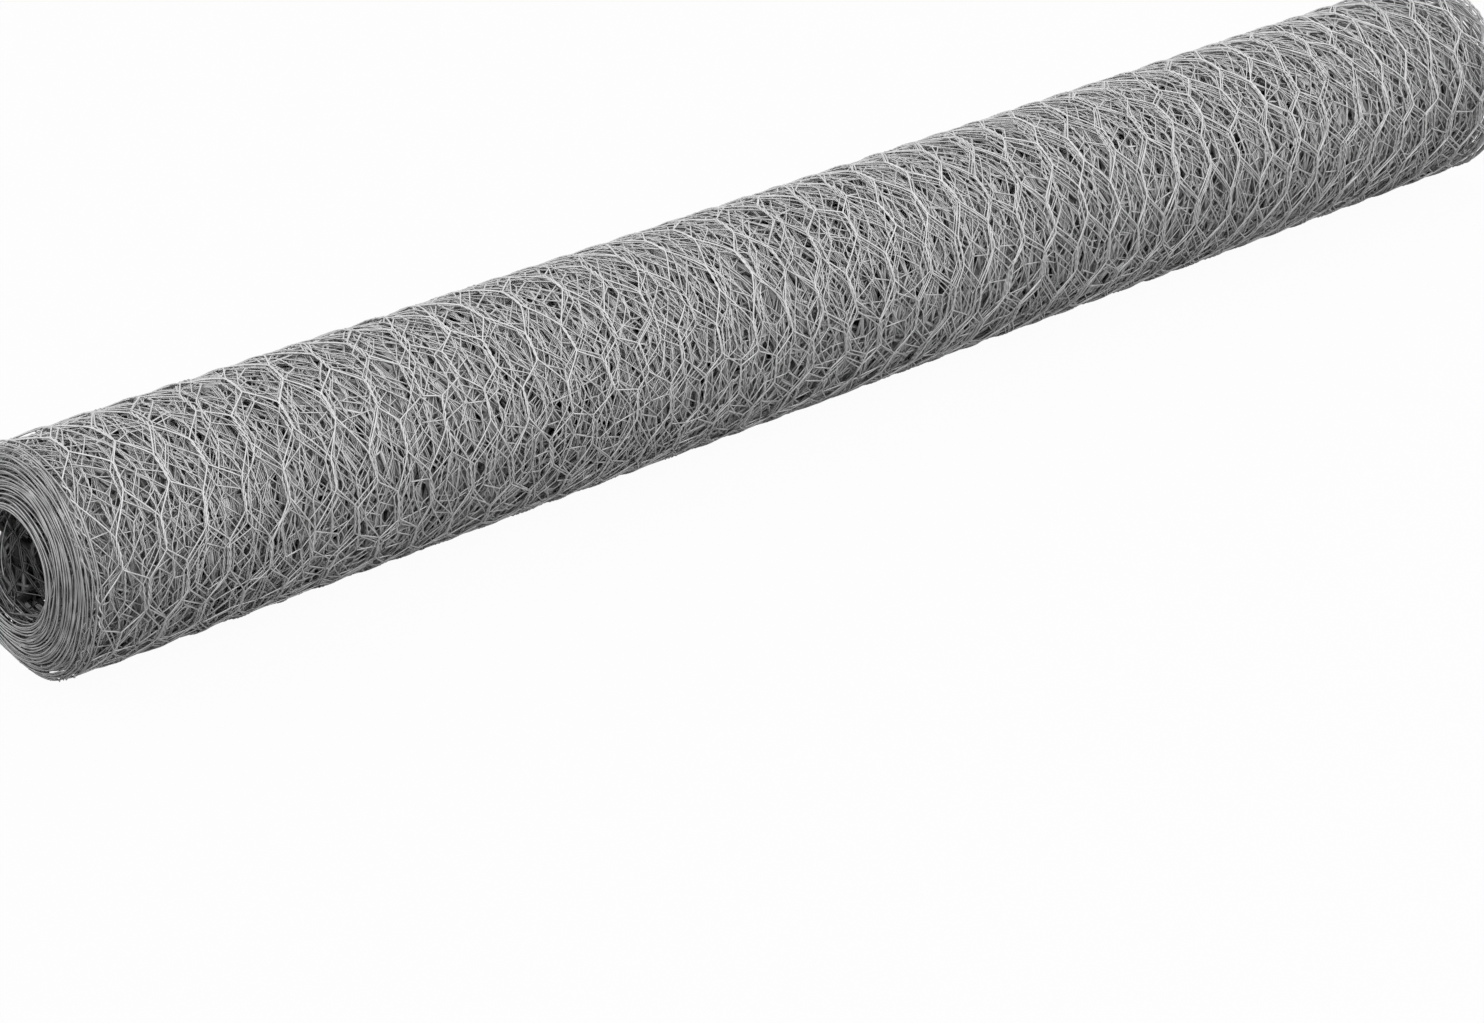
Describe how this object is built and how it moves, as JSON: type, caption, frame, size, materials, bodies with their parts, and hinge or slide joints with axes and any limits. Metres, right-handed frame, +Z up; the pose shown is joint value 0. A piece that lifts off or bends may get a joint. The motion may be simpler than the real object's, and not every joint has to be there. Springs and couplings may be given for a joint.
{
  "type": "roll of chicken wire",
  "caption": "Roll of galvanised hexagonal wire netting lying on its side, wound tight round an open middle, for cutting lengths of fence or cage mesh.",
  "frame": {"origin": "on the floor under the middle of the roll, halfway along its length", "axes": "+X along the axis of the roll, from the end where the first turns stand out towards the other end; +Z up"},
  "size_m": [1.0112, 0.114, 0.1139],
  "materials": {
    "galvanised_wire": "dull galvanised zinc, neutral grey"
  },
  "bodies": {
    "root": {"netting_roll": "galvanised_wire"}
  },
  "joints": []
}
